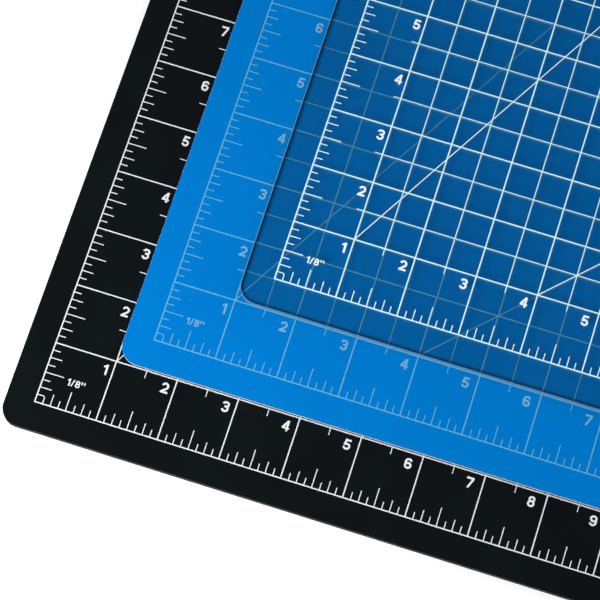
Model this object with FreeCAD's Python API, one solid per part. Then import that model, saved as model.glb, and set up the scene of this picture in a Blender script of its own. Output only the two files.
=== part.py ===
import FreeCAD, Part
import math
import os

from FreeCAD import Vector

# Three self-healing cutting mats of one size, fanned out along one diagonal: black at the bottom,
# blue in the middle, translucent on top. Millimetres, +Z up, +X along the long scale. The origin
# is under the centre of the fanned stack, on the surface that the bottom mat lies on.

INCH = 25.4

# One sheet
sheet_length = 303.4
sheet_width = 227.2
corner_radius = 7.6
edge_round = 0.15

# Plies of the black and the blue mat, and the single ply of the translucent one
skin_thickness = 0.6
cushion_thickness = 0.4
core_thickness = 1.0
clear_thickness = 3.0

# How the mats lie on each other
fan_step_x = 37.2
fan_step_y = 37.3
lay_gap = 0.05

# Printed scale: ink film and line widths
ink_thickness = 0.05
least_margin = 11.0
inch_line = 0.5
half_inch_line = 0.35
tick_line = 0.38
guide_line = 0.38

# Printed scale: lengths
eighth_tick = 3.1
quarter_tick = 4.8
half_tick = 7.9
grid_overshoot = 3.1
corner_square_round = 0.9
border_inches = 1
guide_angle = 60.0
diagonal_angle = 45.0
diagonal_start_inch = 4

# Numerals: size and places, and the typeface's proportions as shares of the height
numeral_height = 4.4
figure_width = 0.68
figure_stroke = 0.186
figure_space = 0.12
numeral_pitch = 25.1
numeral_gap_x = 2.2
numeral_gap_y = 2.3
numeral_drop = 2.6
numeral_inset = 1.7

# Graduation label beside the zero corner, clear of the half-inch ticks
label_height = 2.9
label_gap_x = 1.7
label_gap_y = 2.3

# Register: how far each mat's print lies from the middle of its sheet, along X and Y
print_slip = {
    "black": (-0.4, -0.5),
    "blue": (-0.45, -0.25),
    "clear": (0.2, 0.35),
}


# ---- Flat shapes ----

def bar(x0, y0, x1, y1):
    """Rectangle between two corners."""
    return Part.makePlane(x1 - x0, y1 - y0, Vector(x0, y0, 0))


def line_band(x0, y0, x1, y1, width):
    """Straight stroke from one point to another, cut square at both ends."""
    length = math.hypot(x1 - x0, y1 - y0)
    band = Part.makePlane(length, width, Vector(0, -width / 2, 0))
    band.rotate(Vector(0, 0, 0), Vector(0, 0, 1), math.degrees(math.atan2(y1 - y0, x1 - x0)))
    band.translate(Vector(x0, y0, 0))
    return band


def arc_band(x, y, radius, start, end, width):
    """Curved stroke about (x, y), from angle start to angle end in degrees, counterclockwise."""
    def point(r, angle):
        return Vector(x + r * math.cos(math.radians(angle)), y + r * math.sin(math.radians(angle)), 0)

    middle = (start + end) / 2
    outer = radius + width / 2
    inner = radius - width / 2
    edges = [
        Part.Arc(point(outer, start), point(outer, middle), point(outer, end)).toShape(),
        Part.makeLine(point(outer, end), point(inner, end)),
        Part.Arc(point(inner, end), point(inner, middle), point(inner, start)).toShape(),
        Part.makeLine(point(inner, start), point(outer, start)),
    ]
    return Part.Face(Part.Wire(edges))


def polygon(points):
    """Face with straight sides through the points."""
    corners = [Vector(x, y, 0) for x, y in points]
    return Part.Face(Part.makePolygon(corners + corners[:1]))


def joined(faces):
    """One flat shape from overlapping ones."""
    return faces[0].multiFuse(faces[1:]).removeSplitter()


def moved(shape, x, y, z=0.0):
    """Copy of a shape at a new place."""
    copy = shape.copy()
    copy.translate(Vector(x, y, z))
    return copy


# ---- Numerals: bold upright figures made of even strokes, w wide, h high, strokes s wide ----

def loop(x0, x1, y0, y1, s):
    """Closed ring with half-round ends, between the outer limits x0 to x1 and y0 to y1."""
    r = (y1 - y0 - s) / 2
    y = (y0 + y1) / 2
    return [
        arc_band(x0 + s / 2 + r, y, r, 90, 270, s),
        arc_band(x1 - s / 2 - r, y, r, -90, 90, s),
        bar(x0 + s / 2 + r, y0, x1 - s / 2 - r, y0 + s),
        bar(x0 + s / 2 + r, y1 - s, x1 - s / 2 - r, y1),
    ]


def figure_0(w, h, s):
    r = (w - s) / 2
    return [
        arc_band(w / 2, h - s / 2 - r, r, 0, 180, s),
        bar(0, s / 2 + r, s, h - s / 2 - r),
        bar(w - s, s / 2 + r, w, h - s / 2 - r),
        arc_band(w / 2, s / 2 + r, r, 180, 360, s),
    ]


def figure_1(w, h, s):
    right = 0.62 * w
    left = right - s
    foot = 0.69 * h
    flag = polygon([(0, foot), (left, foot), (right, h), (left, h), (0.5 * left, 0.86 * h), (0, 0.82 * h)])
    return [bar(left, 0, right, h), flag]


def figure_2(w, h, s):
    r = (w - s) / 2
    y = h - s / 2 - r
    turn = -48
    end_x = w / 2 + r * math.cos(math.radians(turn))
    end_y = y + r * math.sin(math.radians(turn))
    foot_x = end_x + (end_y - s / 2) * math.tan(math.radians(turn))
    return [
        arc_band(w / 2, y, r, turn, 172, s),
        line_band(end_x, end_y, foot_x, s / 2, s),
        bar(0, 0, w, s),
    ]


def figure_3(w, h, s):
    lower = 0.27 * (h - s)
    upper = (h - s) / 2 - lower
    waist = s / 2 + 2 * lower
    return [
        arc_band(s / 2 + upper, h - s / 2 - upper, upper, 90, 170, s),
        bar(s / 2 + upper, h - s, w - s / 2 - upper, h),
        arc_band(w - s / 2 - upper, h - s / 2 - upper, upper, -90, 90, s),
        bar(0.36 * w, waist - s / 2, w - s / 2 - upper, waist + s / 2),
        arc_band(w - s / 2 - lower, s / 2 + lower, lower, -90, 90, s),
        bar(s / 2 + lower, 0, w - s / 2 - lower, s),
        arc_band(s / 2 + lower, s / 2 + lower, lower, 190, 270, s),
    ]


def figure_4(w, h, s):
    stem = 0.84 * w
    cross = 0.2 * h
    cross_top = cross + 0.85 * s
    slope = polygon([(0, cross), (s, cross), (stem - 0.25 * s, h), (stem - s, h), (0, cross_top)])
    return [bar(stem - s, 0, stem, h), bar(0, cross, w, cross_top), slope]


def figure_5(w, h, s):
    bowl_top = 0.65 * h
    knee = 0.42 * h
    r = (bowl_top - s) / 2
    return [
        bar(0.16 * w, h - s, 0.95 * w, h),
        polygon([(0.04 * w, knee), (0.04 * w + s, knee), (0.16 * w + s, h), (0.16 * w, h)]),
        bar(s / 2 + r, bowl_top - s, w - s / 2 - r, bowl_top),
        arc_band(s / 2 + r, bowl_top / 2, r, 90, 150, s),
        arc_band(w - s / 2 - r, bowl_top / 2, r, -90, 90, s),
        bar(s / 2 + r, 0, w - s / 2 - r, s),
        arc_band(s / 2 + r, s / 2 + r, r, 190, 270, s),
    ]


def figure_6(w, h, s):
    r = (w - s) / 2
    bowl_top = 0.63 * h
    return loop(0, w, 0, bowl_top, s) + [
        bar(0, bowl_top / 2, s, h - s / 2 - r),
        arc_band(w / 2, h - s / 2 - r, r, 18, 180, s),
    ]


def figure_7(w, h, s):
    return [
        bar(0, h - s, w, h),
        polygon([(0.22 * w, 0), (0.24 * w + s, 0), (w, h - s), (w - 1.1 * s, h - s)]),
    ]


def figure_8(w, h, s):
    waist = 0.54 * h
    return loop(0, w, 0, waist + s / 2, s) + loop(0.05 * w, 0.95 * w, waist - s / 2, h, s)


def figure_9(w, h, s):
    turned = joined(figure_6(w, h, s))
    turned.rotate(Vector(w / 2, h / 2, 0), Vector(0, 0, 1), 180)
    return [turned]


def slash(w, h, s):
    return [polygon([(0, 0), (s, 0), (0.7 * w, h), (0.7 * w - s, h)])]


def inch_mark(w, h, s):
    return [bar(0, 0.62 * h, s, h), bar(2 * s, 0.62 * h, 3 * s, h)]


FIGURES = {
    "0": figure_0,
    "1": figure_1,
    "2": figure_2,
    "3": figure_3,
    "4": figure_4,
    "5": figure_5,
    "6": figure_6,
    "7": figure_7,
    "8": figure_8,
    "9": figure_9,
    "/": slash,
    '"': inch_mark,
}


def word(text, x, y, height):
    """Flat shapes of a row of figures that starts at x and stands on y."""
    shapes = []
    for character in text:
        shape = joined(FIGURES[character](figure_width * height, height, figure_stroke * height))
        shapes.append(moved(shape, x, y))
        x += shape.BoundBox.XMax + figure_space * height
    return shapes


def word_before(text, right, y, height):
    """The same row, ending at the distance right."""
    shapes = word(text, 0, y, height)
    end = max(shape.BoundBox.XMax for shape in shapes)
    return [moved(shape, right - end, 0) for shape in shapes]


# ---- Printed scale, from its zero corner ----

inches_x = int((sheet_length - 2 * least_margin) / INCH)
inches_y = int((sheet_width - 2 * least_margin) / INCH)
scale_length = inches_x * INCH
scale_width = inches_y * INCH
border = border_inches * INCH
margin_x = (sheet_length - scale_length) / 2
margin_y = (sheet_width - scale_width) / 2


def tick_length(eighth):
    """Length of the edge tick at this many eighths past a whole inch."""
    if eighth == 4:
        return half_tick
    if eighth % 2 == 0:
        return quarter_tick
    return eighth_tick


def ticks(inches):
    """Eighth-inch ticks that stand up from y = 0, without those that turn the corner squares."""
    marks = []
    for step in range(2, 8 * inches - 1):
        if step % 8:
            x = step * INCH / 8
            marks.append(bar(x - tick_line / 2, 0, x + tick_line / 2, tick_length(step % 8)))
    return marks


def corner_square():
    """First eighth-inch ticks of two scales, which meet in a small square with a round corner."""
    side = INCH / 8
    turn = side - corner_square_round
    return [
        bar(side - tick_line / 2, 0, side + tick_line / 2, turn),
        bar(0, side - tick_line / 2, turn, side + tick_line / 2),
        arc_band(turn, turn, corner_square_round, 0, 90, tick_line),
    ]


def turned(shapes, angle, x, y):
    """Copies turned about the zero corner by an angle in degrees, then moved."""
    copies = [moved(shape, 0, 0) for shape in shapes]
    for copy in copies:
        copy.rotate(Vector(0, 0, 0), Vector(0, 0, 1), angle)
        copy.translate(Vector(x, y, 0))
    return copies


def grid_lines():
    """Frame, inch lines over the whole scale, and half-inch lines inside the border."""
    half = inch_line / 2
    thin = half_inch_line / 2
    lines = []
    for step in range(inches_x + 1):
        x = step * INCH
        lines.append(bar(x - half, -half, x + half, scale_width + half))
    for step in range(inches_y + 1):
        y = step * INCH
        lines.append(bar(-half, y - half, scale_length + half, y + half))
    low = border - grid_overshoot
    for step in range(border_inches, inches_x - border_inches):
        x = (step + 0.5) * INCH
        lines.append(bar(x - thin, low, x + thin, scale_width - low))
    for step in range(border_inches, inches_y - border_inches):
        y = (step + 0.5) * INCH
        lines.append(bar(low, y - thin, scale_length - low, y + thin))
    return lines


def guide(start_x, angle):
    """Angled line from the lower side of the inner grid to its top or its right side."""
    rise = scale_width - 2 * border
    run = rise / math.tan(math.radians(angle))
    room = scale_length - border - start_x
    share = min(1.0, room / run)
    return line_band(start_x, border, start_x + share * run, border + share * rise, guide_line)


def grid_print():
    """Every printed line of a mat, as one flat shape."""
    left_side = turned(ticks(inches_y), -90, 0, scale_width)
    zero_corner = corner_square()
    marks = ticks(inches_x) + left_side + zero_corner + turned(zero_corner, 90, scale_length, 0)
    far_marks = turned(marks, 180, scale_length, scale_width)
    guides = [guide(border, guide_angle), guide(diagonal_start_inch * INCH, diagonal_angle)]
    return joined(grid_lines() + marks + far_marks + guides)


def number_print():
    """Numerals of the lower and the left scale, and the graduation label."""
    foot = border - numeral_gap_y - numeral_height
    shapes = word_before("1", border - numeral_gap_x, foot, numeral_height)
    for number in range(2, inches_x):
        right = 2 * INCH + (number - 2) * numeral_pitch - numeral_gap_x
        shapes += word_before(str(number), right, foot, numeral_height)
    for number in range(2, inches_y):
        top = number * INCH - numeral_drop
        shapes += word_before(str(number), border - numeral_inset, top - numeral_height, numeral_height)
    return shapes + word('1/8"', half_tick + label_gap_x, half_tick + label_gap_y, label_height)


# ---- Sheets ----

def sheet(thickness):
    """Flat sheet with round corners, its lower left corner at the origin."""
    blank = Part.makeBox(sheet_length, sheet_width, thickness)
    upright = [edge for edge in blank.Edges if abs(edge.tangentAt(edge.FirstParameter).z) > 0.5]
    return blank.makeFillet(corner_radius, upright)


def round_rim(shape, z):
    """The shape with the rim at height z eased."""
    rim = []
    for edge in shape.Edges:
        box = edge.BoundBox
        if abs(box.ZMin - z) < 1e-6 and abs(box.ZMax - z) < 1e-6:
            rim.append(edge)
    return shape.makeFillet(edge_round, rim)


def laminate():
    """Plies of a five-ply mat, named, with the rest face at z = 0."""
    stack = [
        ("bottom_skin", skin_thickness),
        ("lower_cushion", cushion_thickness),
        ("core", core_thickness),
        ("upper_cushion", cushion_thickness),
        ("top_skin", skin_thickness),
    ]
    plies = {}
    z = 0.0
    for name, thickness in stack:
        ply = sheet(thickness)
        if name == "bottom_skin":
            ply = round_rim(ply, 0.0)
        if name == "top_skin":
            ply = round_rim(ply, thickness)
        plies[name] = moved(ply, 0, 0, z)
        z += thickness
    return plies, z


def single_sheet():
    """The translucent mat: one ply, with both rims eased."""
    body = round_rim(round_rim(sheet(clear_thickness), 0.0), clear_thickness)
    return {"sheet": body}, clear_thickness


def inked(shapes, slip, z):
    """Ink film of the flat shapes, printed on a face at height z with this slip."""
    films = [shape.extrude(Vector(0, 0, ink_thickness)) for shape in shapes]
    solids = [solid for film in films for solid in film.Solids]
    return moved(Part.makeCompound(solids), margin_x + slip[0], margin_y + slip[1], z)


# ---- The stack ----

os.makedirs("parts", exist_ok=True)

lines = grid_print()
numbers = number_print()
base_z = 0.0
for place, colour in enumerate(("black", "blue", "clear")):
    pieces, thickness = single_sheet() if colour == "clear" else laminate()
    pieces["grid_print"] = inked([lines], print_slip[colour], thickness)
    pieces["number_print"] = inked(numbers, print_slip[colour], thickness)
    corner_x = (place - 1) * fan_step_x - sheet_length / 2
    corner_y = (place - 1) * fan_step_y - sheet_width / 2
    for name, piece in pieces.items():
        moved(piece, corner_x, corner_y, base_z).exportStep(f"parts/{colour}_{name}.step")
    base_z += thickness + ink_thickness + lay_gap
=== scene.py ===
import bmesh
import bpy
from math import cos, radians, sin
from mathutils import Matrix, Vector


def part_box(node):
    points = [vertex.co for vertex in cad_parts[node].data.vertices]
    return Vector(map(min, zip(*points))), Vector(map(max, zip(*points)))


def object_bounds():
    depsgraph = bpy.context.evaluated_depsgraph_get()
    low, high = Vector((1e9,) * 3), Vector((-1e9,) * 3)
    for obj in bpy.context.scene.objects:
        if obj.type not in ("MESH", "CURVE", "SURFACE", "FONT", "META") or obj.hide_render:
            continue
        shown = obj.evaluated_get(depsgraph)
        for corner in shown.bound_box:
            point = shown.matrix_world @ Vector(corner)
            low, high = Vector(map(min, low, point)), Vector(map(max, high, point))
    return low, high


# Three self-healing cutting mats of one size, lying fanned out on each other: black, blue and
# smoke-clear. The frame's own plies and prints are what shows, and each gets its finish here.

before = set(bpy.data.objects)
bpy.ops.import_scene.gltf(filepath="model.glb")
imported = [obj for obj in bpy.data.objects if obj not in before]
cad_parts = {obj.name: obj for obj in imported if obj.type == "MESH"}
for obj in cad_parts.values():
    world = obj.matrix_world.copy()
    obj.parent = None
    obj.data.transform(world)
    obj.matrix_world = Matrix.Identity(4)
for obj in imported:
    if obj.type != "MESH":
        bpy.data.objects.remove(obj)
cad_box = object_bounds()
MM = 0.001


# ---- Camera ----
# A long lens looks down at the corner where the three zero marks step away from each other.
# The mats' long side runs down to the right, so the camera is turned a little about its own axis.

from_black_corner = Vector((98.6 * MM, 82.8 * MM, 2.6 * MM))
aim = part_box("black_top_skin")[0] + from_black_corner
look_distance = 1.0625
look_azimuth = radians(-15.507)
look_down = radians(72.475)
roll = radians(-2.201)
focal_length = 160.07

forward = Vector(
    (sin(look_azimuth) * cos(look_down), cos(look_azimuth) * cos(look_down), -sin(look_down))
)
level_right = forward.cross(Vector((0, 0, 1))).normalized()
level_up = level_right.cross(forward)
up = level_up * cos(roll) + level_right * sin(roll)
right = forward.cross(up)

camera_data = bpy.data.cameras.new("camera")
camera_data.lens = focal_length
camera_data.sensor_width = 36.0
camera = bpy.data.objects.new("camera", camera_data)
turned = Matrix((right, up, -forward)).transposed().to_4x4()
camera.matrix_world = Matrix.Translation(aim - forward * look_distance) @ turned
bpy.context.scene.collection.objects.link(camera)
bpy.context.scene.camera = camera


# ---- Black mat: skins ----
# The wear faces are calendered plasticised PVC, rolled against a matte drum that leaves a fine
# satin grain. It gives a deep neutral black with a soft, very weak sheen.

def linear(hex_colour):
    """Linear RGBA of an sRGB hex colour."""
    channels = [int(hex_colour[i:i + 2], 16) / 255 for i in (1, 3, 5)]
    return [c / 12.92 if c <= 0.04045 else ((c + 0.055) / 1.055) ** 2.4 for c in channels] + [1.0]


def add(tree, kind, settings=None, links=None):
    """A new node. Settings name its properties or its input sockets, and links feed its inputs."""
    node = tree.nodes.new(kind)
    for key, value in (settings or {}).items():
        if isinstance(key, str) and hasattr(node, key):
            setattr(node, key, value)
        else:
            node.inputs[key].default_value = value
    for key, source in (links or {}).items():
        tree.links.new(source, node.inputs[key])
    return node


def new_material(name):
    """An empty node material and its tree."""
    material = bpy.data.materials.new(name)
    material.use_nodes = True
    material.node_tree.nodes.clear()
    return material, material.node_tree


def dress(material, *nodes):
    """Gives CAD nodes this finish."""
    for name in nodes:
        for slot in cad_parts[name].material_slots:
            slot.material = material


def embossed_pvc(name, colour, cloud_colour, specular):
    """Matte-rolled PVC sheet: fine satin grain, and slow clouds where the pigment lies unevenly."""
    grain_size = 0.45 * MM
    grain_depth = 0.012 * MM
    cloud_size = 38 * MM
    material, tree = new_material(name)
    place = add(tree, "ShaderNodeTexCoord").outputs["Object"]
    clouds = add(
        tree, "ShaderNodeTexNoise",
        {"Scale": 1 / cloud_size, "Detail": 2.0, "Roughness": 0.45}, {"Vector": place},
    )
    cloud_range = add(
        tree, "ShaderNodeMapRange",
        {"From Min": 0.35, "From Max": 0.65}, {"Value": clouds.outputs["Fac"]},
    )
    base = add(
        tree, "ShaderNodeMix",
        {"data_type": "RGBA", 6: linear(colour), 7: linear(cloud_colour)},
        {0: cloud_range.outputs["Result"]},
    )
    grain = add(
        tree, "ShaderNodeTexNoise",
        {"Scale": 1 / grain_size, "Detail": 3.0, "Roughness": 0.6}, {"Vector": place},
    )
    roughness = add(
        tree, "ShaderNodeMapRange",
        {"From Min": 0.3, "From Max": 0.7, "To Min": 0.38, "To Max": 0.48},
        {"Value": grain.outputs["Fac"]},
    )
    bump = add(
        tree, "ShaderNodeBump",
        {"Strength": 0.6, "Distance": grain_depth}, {"Height": grain.outputs["Fac"]},
    )
    surface = add(
        tree, "ShaderNodeBsdfPrincipled",
        {"IOR": 1.53, "Specular IOR Level": specular},
        {
            "Base Color": base.outputs[2],
            "Roughness": roughness.outputs["Result"],
            "Normal": bump.outputs["Normal"],
        },
    )
    add(tree, "ShaderNodeOutputMaterial", links={"Surface": surface.outputs["BSDF"]})
    return material


black_skin = embossed_pvc("black_embossed_pvc", "#111518", "#13181B", 0.12)
dress(black_skin, "black_top_skin", "black_bottom_skin")


# ---- Black mat: cushions and core ----
# The plies between the skins show only where the die cut the mat: two soft cushions and a hard
# core, all dyed black. The blade leaves upright scores in them, and the core is a shade greyer.

def cut_ply(name, colour, score_colour, roughness):
    """Die-cut edge of a PVC ply: matte, with upright scores from the cutting rule."""
    score_width = 0.3 * MM
    score_depth = 0.02 * MM
    drawn_out = 0.08
    material, tree = new_material(name)
    place = add(tree, "ShaderNodeTexCoord").outputs["Object"]
    upright = add(tree, "ShaderNodeMapping", {"Scale": (1, 1, drawn_out)}, {"Vector": place})
    scores = add(
        tree, "ShaderNodeTexNoise",
        {"Scale": 1 / score_width, "Detail": 3.0, "Roughness": 0.55},
        {"Vector": upright.outputs["Vector"]},
    )
    score_range = add(
        tree, "ShaderNodeMapRange",
        {"From Min": 0.35, "From Max": 0.65}, {"Value": scores.outputs["Fac"]},
    )
    base = add(
        tree, "ShaderNodeMix",
        {"data_type": "RGBA", 6: linear(colour), 7: linear(score_colour)},
        {0: score_range.outputs["Result"]},
    )
    bump = add(
        tree, "ShaderNodeBump",
        {"Strength": 0.5, "Distance": score_depth}, {"Height": scores.outputs["Fac"]},
    )
    surface = add(
        tree, "ShaderNodeBsdfPrincipled",
        {"IOR": 1.53, "Specular IOR Level": 0.08, "Roughness": roughness},
        {"Base Color": base.outputs[2], "Normal": bump.outputs["Normal"]},
    )
    add(tree, "ShaderNodeOutputMaterial", links={"Surface": surface.outputs["BSDF"]})
    return material


black_cushion = cut_ply("black_soft_pvc", "#0C1012", "#11161A", 0.7)
dress(black_cushion, "black_lower_cushion", "black_upper_cushion")
dress(cut_ply("black_rigid_pvc", "#121719", "#191E21", 0.6), "black_core")


# ---- White print of the black mat ----
# Scale lines and numerals are screen printed in opaque white vinyl ink. The film is a hair thick,
# with faint mesh-fine unevenness, and matte enough to read without glare.

def screen_ink(name, thin_colour, full_colour, specular, glow=0.0):
    """Screen-printed vinyl ink, a little thinner and thicker from mesh opening to mesh opening."""
    mesh_opening = 0.22 * MM
    patch_size = 6 * MM
    film_depth = 0.006 * MM
    material, tree = new_material(name)
    place = add(tree, "ShaderNodeTexCoord").outputs["Object"]
    mesh = add(
        tree, "ShaderNodeTexNoise",
        {"Scale": 1 / mesh_opening, "Detail": 2.0, "Roughness": 0.5}, {"Vector": place},
    )
    patches = add(
        tree, "ShaderNodeTexNoise",
        {"Scale": 1 / patch_size, "Detail": 2.0, "Roughness": 0.5}, {"Vector": place},
    )
    film = add(
        tree, "ShaderNodeMath", {"operation": "ADD"},
        {0: mesh.outputs["Fac"], 1: patches.outputs["Fac"]},
    )
    cover = add(
        tree, "ShaderNodeMapRange",
        {"From Min": 0.6, "From Max": 1.2}, {"Value": film.outputs["Value"]},
    )
    base = add(
        tree, "ShaderNodeMix",
        {"data_type": "RGBA", 6: linear(thin_colour), 7: linear(full_colour)},
        {0: cover.outputs["Result"]},
    )
    bump = add(
        tree, "ShaderNodeBump",
        {"Strength": 0.5, "Distance": film_depth}, {"Height": mesh.outputs["Fac"]},
    )
    # A glow above zero is painted light: the ink then shines a little, though it is no lamp.
    surface = add(
        tree, "ShaderNodeBsdfPrincipled",
        {
            "IOR": 1.5, "Specular IOR Level": specular, "Roughness": 0.55,
            "Emission Color": linear(full_colour), "Emission Strength": glow,
        },
        {"Base Color": base.outputs[2], "Normal": bump.outputs["Normal"]},
    )
    add(tree, "ShaderNodeOutputMaterial", links={"Surface": surface.outputs["BSDF"]})
    return material


white_ink = screen_ink("white_vinyl_ink", "#F4F8FB", "#FCFEFF", 0.15)
dress(white_ink, "black_grid_print", "black_number_print")


# ---- Blue mat: skin and upper cushion ----
# The wear face is the same matte-rolled PVC, pigmented a strong azure all through, over a soft
# cushion of the same blue that closes up again after the knife.

blue_skin = embossed_pvc("blue_embossed_pvc", "#0081D9", "#0084DD", 0.08)
dress(blue_skin, "blue_top_skin")
dress(cut_ply("blue_soft_pvc", "#007BD2", "#0A86DC", 0.6), "blue_upper_cushion")


# ---- Blue mat: core and back ----
# The cut edge shows a white line between the blue and the back: the core is hard undyed PVC that
# stops the blade. The back cushion and back skin are dark grey, nearly black.

dress(cut_ply("white_rigid_pvc", "#F2F6F8", "#FAFCFD", 0.5), "blue_core")
dress(cut_ply("dark_soft_pvc", "#14181B", "#1A1F22", 0.7), "blue_lower_cushion")
dress(embossed_pvc("dark_embossed_pvc", "#101417", "#14181B", 0.12), "blue_bottom_skin")


# ---- Pale print of the blue mat ----
# The same white ink in a single thin pass, so that the blue shows through it and it reads as a pale
# sky blue. The hairlines hold a still thinner film than the broad numerals, and are a clearer blue.

pale_ink = screen_ink("thin_white_vinyl_ink", "#6FB0DC", "#82BFE4", 0.2)
pale_line_ink = screen_ink("hairline_white_vinyl_ink", "#5EB2DC", "#6EC0E6", 0.15)
dress(pale_ink, "blue_number_print")
dress(pale_line_ink, "blue_grid_print")


# ---- Smoke-clear mat: sheet ----
# One extruded ply of see-through PVC with a light smoke tint. Its faces are calendered smooth and
# bend the light as plastic does, and its die-cut edge and rims are frosted. A narrow band inside
# the rim has painted shade in its tint, for the shade where no light comes down through the frosted
# edge.

def smoke_sheet(name, node):
    """See-through PVC sheet: tinted clear faces, frosted cut edge, painted shade in a band inside
    the rim.
    """
    pass_share = 0.84
    painted_rim_shade_share = 0.05
    frosted_share = 0.3
    painted_shade_width = 2.1 * MM
    corner = 7.6 * MM
    score_width = 0.3 * MM
    drawn_out = 0.08
    frosted_roughness = 0.5
    cloud_size = 45 * MM
    grain_size = 0.8 * MM
    grain_depth = 0.004 * MM
    material, tree = new_material(name)
    low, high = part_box(node)
    centre = (low + high) / 2
    half = (high - low) / 2
    place = add(tree, "ShaderNodeTexCoord").outputs["Object"]

    # Distance in from the sheet's outline, a rectangle with round corners.
    offset = add(
        tree, "ShaderNodeVectorMath",
        {"operation": "SUBTRACT", 1: centre}, {0: place},
    )
    folded = add(
        tree, "ShaderNodeVectorMath", {"operation": "ABSOLUTE"}, {0: offset.outputs["Vector"]},
    )
    past = add(
        tree, "ShaderNodeVectorMath",
        {"operation": "SUBTRACT", 1: (half.x - corner, half.y - corner, half.z)},
        {0: folded.outputs["Vector"]},
    )
    past_axes = add(tree, "ShaderNodeSeparateXYZ", links={"Vector": past.outputs["Vector"]})
    outside = add(
        tree, "ShaderNodeVectorMath",
        {"operation": "MAXIMUM", 1: (0, 0, 0)}, {0: past.outputs["Vector"]},
    )
    to_corner = add(
        tree, "ShaderNodeVectorMath", {"operation": "LENGTH"}, {0: outside.outputs["Vector"]},
    )
    larger = add(
        tree, "ShaderNodeMath", {"operation": "MAXIMUM"},
        {0: past_axes.outputs["X"], 1: past_axes.outputs["Y"]},
    )
    inner = add(
        tree, "ShaderNodeMath", {"operation": "MINIMUM", 1: 0.0}, {0: larger.outputs["Value"]},
    )
    signed = add(
        tree, "ShaderNodeMath", {"operation": "ADD"},
        {0: to_corner.outputs["Value"], 1: inner.outputs["Value"]},
    )
    # Painted shade: the tint darkens over a narrow band just inside the rim, for the shade below
    # the frosted edge.
    tint_and_painted_shade = add(
        tree, "ShaderNodeMapRange",
        {
            "From Min": corner - painted_shade_width, "From Max": corner,
            "To Min": pass_share, "To Max": painted_rim_shade_share,
        },
        {"Value": signed.outputs["Value"]},
    )

    # Frosted where the surface turns away from level: the cut edge and both rims.
    normal = add(tree, "ShaderNodeNewGeometry").outputs["Normal"]
    upward = add(tree, "ShaderNodeSeparateXYZ", links={"Vector": normal})
    level = add(tree, "ShaderNodeMath", {"operation": "ABSOLUTE"}, {0: upward.outputs["Z"]})
    clear = add(
        tree, "ShaderNodeMapRange",
        {"From Min": 0.7, "From Max": 0.95}, {"Value": level.outputs["Value"]},
    )
    upright = add(tree, "ShaderNodeMapping", {"Scale": (1, 1, drawn_out)}, {"Vector": place})
    scores = add(
        tree, "ShaderNodeTexNoise",
        {"Scale": 1 / score_width, "Detail": 3.0, "Roughness": 0.55},
        {"Vector": upright.outputs["Vector"]},
    )
    # Frost colour: pale grey-blue whose blue is partly painted light, for the blue that the frosted
    # edge picks up from the blue mat below.
    frost_and_painted_blue_light = add(
        tree, "ShaderNodeMix",
        {"data_type": "RGBA", 6: linear("#6E9DC4"), 7: linear("#84B0D2")},
        {0: scores.outputs["Fac"]},
    )
    # The smoke tint, carrying the painted shade band inside the rim.
    smoke = add(
        tree, "ShaderNodeCombineColor",
        links={axis: tint_and_painted_shade.outputs["Result"] for axis in ("Red", "Green", "Blue")},
    )
    base = add(
        tree, "ShaderNodeMix", {"data_type": "RGBA"},
        {0: clear.outputs["Result"], 6: frost_and_painted_blue_light.outputs[2], 7: smoke.outputs["Color"]},
    )
    clouds = add(
        tree, "ShaderNodeTexNoise",
        {"Scale": 1 / cloud_size, "Detail": 1.0}, {"Vector": place},
    )
    polish = add(
        tree, "ShaderNodeMapRange",
        {"To Min": 0.06, "To Max": 0.12}, {"Value": clouds.outputs["Fac"]},
    )
    roughness = add(
        tree, "ShaderNodeMix",
        {"data_type": "FLOAT", 2: frosted_roughness},
        {0: clear.outputs["Result"], 3: polish.outputs["Result"]},
    )
    passed = add(
        tree, "ShaderNodeMix",
        {"data_type": "FLOAT", 2: frosted_share, 3: 1.0}, {0: clear.outputs["Result"]},
    )
    grain = add(
        tree, "ShaderNodeTexNoise",
        {"Scale": 1 / grain_size, "Detail": 2.0}, {"Vector": place},
    )
    bump = add(
        tree, "ShaderNodeBump",
        {"Strength": 0.3, "Distance": grain_depth}, {"Height": grain.outputs["Fac"]},
    )
    plastic = add(
        tree, "ShaderNodeBsdfPrincipled",
        {"IOR": 1.53},
        {
            "Base Color": base.outputs[2],
            "Transmission Weight": passed.outputs[0],
            "Roughness": roughness.outputs[0],
            "Normal": bump.outputs["Normal"],
        },
    )

    # Lamps and soft light reach the mat below straight through the sheet, with the same tint.
    path = add(tree, "ShaderNodeLightPath")
    stray = add(
        tree, "ShaderNodeMath", {"operation": "MAXIMUM"},
        {0: path.outputs["Is Shadow Ray"], 1: path.outputs["Is Diffuse Ray"]},
    )
    straight = add(
        tree, "ShaderNodeBsdfTransparent", {"Color": (pass_share, pass_share, pass_share, 1)},
    )
    surface = add(
        tree, "ShaderNodeMixShader",
        links={0: stray.outputs["Value"], 1: plastic.outputs["BSDF"], 2: straight.outputs["BSDF"]},
    )
    add(tree, "ShaderNodeOutputMaterial", links={"Surface": surface.outputs["Shader"]})
    return material


dress(smoke_sheet("smoke_clear_pvc", "clear_sheet"), "clear_sheet")


# ---- White print of the smoke-clear mat ----
# Printed on the upper face in the same white ink as the black mat. Its cold cyan tint is painted
# blue light from the mat below, and its faint glow is painted light, though the ink is no lamp.

painted_glow_ink = screen_ink("painted_glow_white_vinyl_ink", "#E8FAFE", "#F2FDFF", 0.15, glow=0.18)
painted_glow_line_ink = screen_ink("painted_glow_hairline_vinyl_ink", "#D4F8FE", "#DEFCFF", 0.1, glow=0.18)
dress(painted_glow_ink, "clear_number_print")
dress(painted_glow_line_ink, "clear_grid_print")


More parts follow.
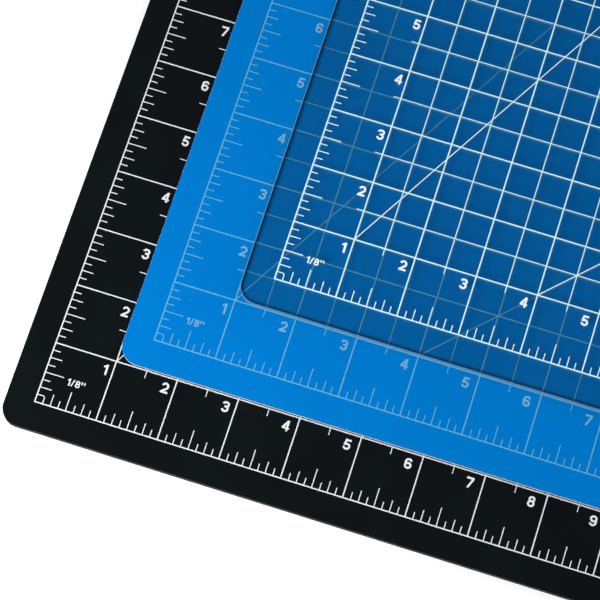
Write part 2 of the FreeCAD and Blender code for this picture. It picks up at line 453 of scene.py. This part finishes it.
# ---- Floor ----
# A wide sheet of white paper on the table. It is lit by the lamps, so it keeps the mats' shadow,
# and it adds a little of its own to what the eye and reflections see, so it reads as plain white.

floor_size = 14.0
floor_drop = 0.2 * MM
paper_glow = 0.35
floor_mesh = bpy.data.meshes.new("floor")
sheet = bmesh.new()
bmesh.ops.create_grid(sheet, x_segments=1, y_segments=1, size=floor_size / 2)
sheet.to_mesh(floor_mesh)
sheet.free()
floor = bpy.data.objects.new("floor", floor_mesh)
bpy.context.scene.collection.objects.link(floor)
floor.location.z = cad_box[0][2] - floor_drop

paper, tree = new_material("white_paper")
path = add(tree, "ShaderNodeLightPath")
seen = add(
    tree, "ShaderNodeMath", {"operation": "MAXIMUM"},
    {0: path.outputs["Is Camera Ray"], 1: path.outputs["Is Glossy Ray"]},
)
seen_too = add(
    tree, "ShaderNodeMath", {"operation": "MAXIMUM"},
    {0: seen.outputs["Value"], 1: path.outputs["Is Transmission Ray"]},
)
lift = add(
    tree, "ShaderNodeMath",
    {"operation": "MULTIPLY", 1: paper_glow}, {0: seen_too.outputs["Value"]},
)
matte = add(tree, "ShaderNodeBsdfDiffuse", {"Color": linear("#F4F4F4")})
glow = add(
    tree, "ShaderNodeEmission", {"Color": linear("#FFFFFF")}, {"Strength": lift.outputs["Value"]},
)
both = add(
    tree, "ShaderNodeAddShader",
    links={0: matte.outputs["BSDF"], 1: glow.outputs["Emission"]},
)
add(tree, "ShaderNodeOutputMaterial", links={"Surface": both.outputs["Shader"]})
floor_mesh.materials.append(paper)


# ---- Light ----
# The nearer soft box stands low at the front left and the farther one at the back right, so that
# the light falls off gently from the zero corners. The black faces stay black under a dim overhead,
# and the boxes are kept out of reflections, so that no glare hides the print.

soft_boxes = {
    "near_soft_box": {"place": (-0.42, -0.44, 0.50), "size": 0.4, "watts": 4.9},
    "far_soft_box": {"place": (0.75, 0.55, 0.85), "size": 0.6, "watts": 3.0},
}
middle = (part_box("blue_core")[0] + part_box("blue_core")[1]) / 2
for name, box in soft_boxes.items():
    lamp = bpy.data.lights.new(name, "AREA")
    lamp.shape = "DISK"
    lamp.size = box["size"]
    lamp.energy = box["watts"]
    lamp_object = bpy.data.objects.new(name, lamp)
    lamp_object.location = box["place"]
    toward = middle - Vector(box["place"])
    lamp_object.rotation_euler = toward.to_track_quat("-Z", "Y").to_euler()
    lamp_object.visible_glossy = False
    lamp_object.visible_transmission = False
    bpy.context.scene.collection.objects.link(lamp_object)

horizon_strength = 0.9
overhead_strength = 0.015
world = bpy.data.worlds.new("studio")
world.use_nodes = True
bpy.context.scene.world = world
tree = world.node_tree
tree.nodes.clear()
direction = add(tree, "ShaderNodeTexCoord").outputs["Generated"]
height = add(tree, "ShaderNodeSeparateXYZ", links={"Vector": direction})
dome = add(
    tree, "ShaderNodeMapRange",
    {
        "interpolation_type": "SMOOTHSTEP",
        "From Min": 0.15, "From Max": 0.55,
        "To Min": horizon_strength, "To Max": overhead_strength,
    },
    {"Value": height.outputs["Z"]},
)
sky = add(
    tree, "ShaderNodeBackground",
    {"Color": linear("#FFFFFF")}, {"Strength": dome.outputs["Result"]},
)
add(tree, "ShaderNodeOutputWorld", links={"Surface": sky.outputs["Background"]})

bpy.context.scene.view_settings.view_transform = "Standard"
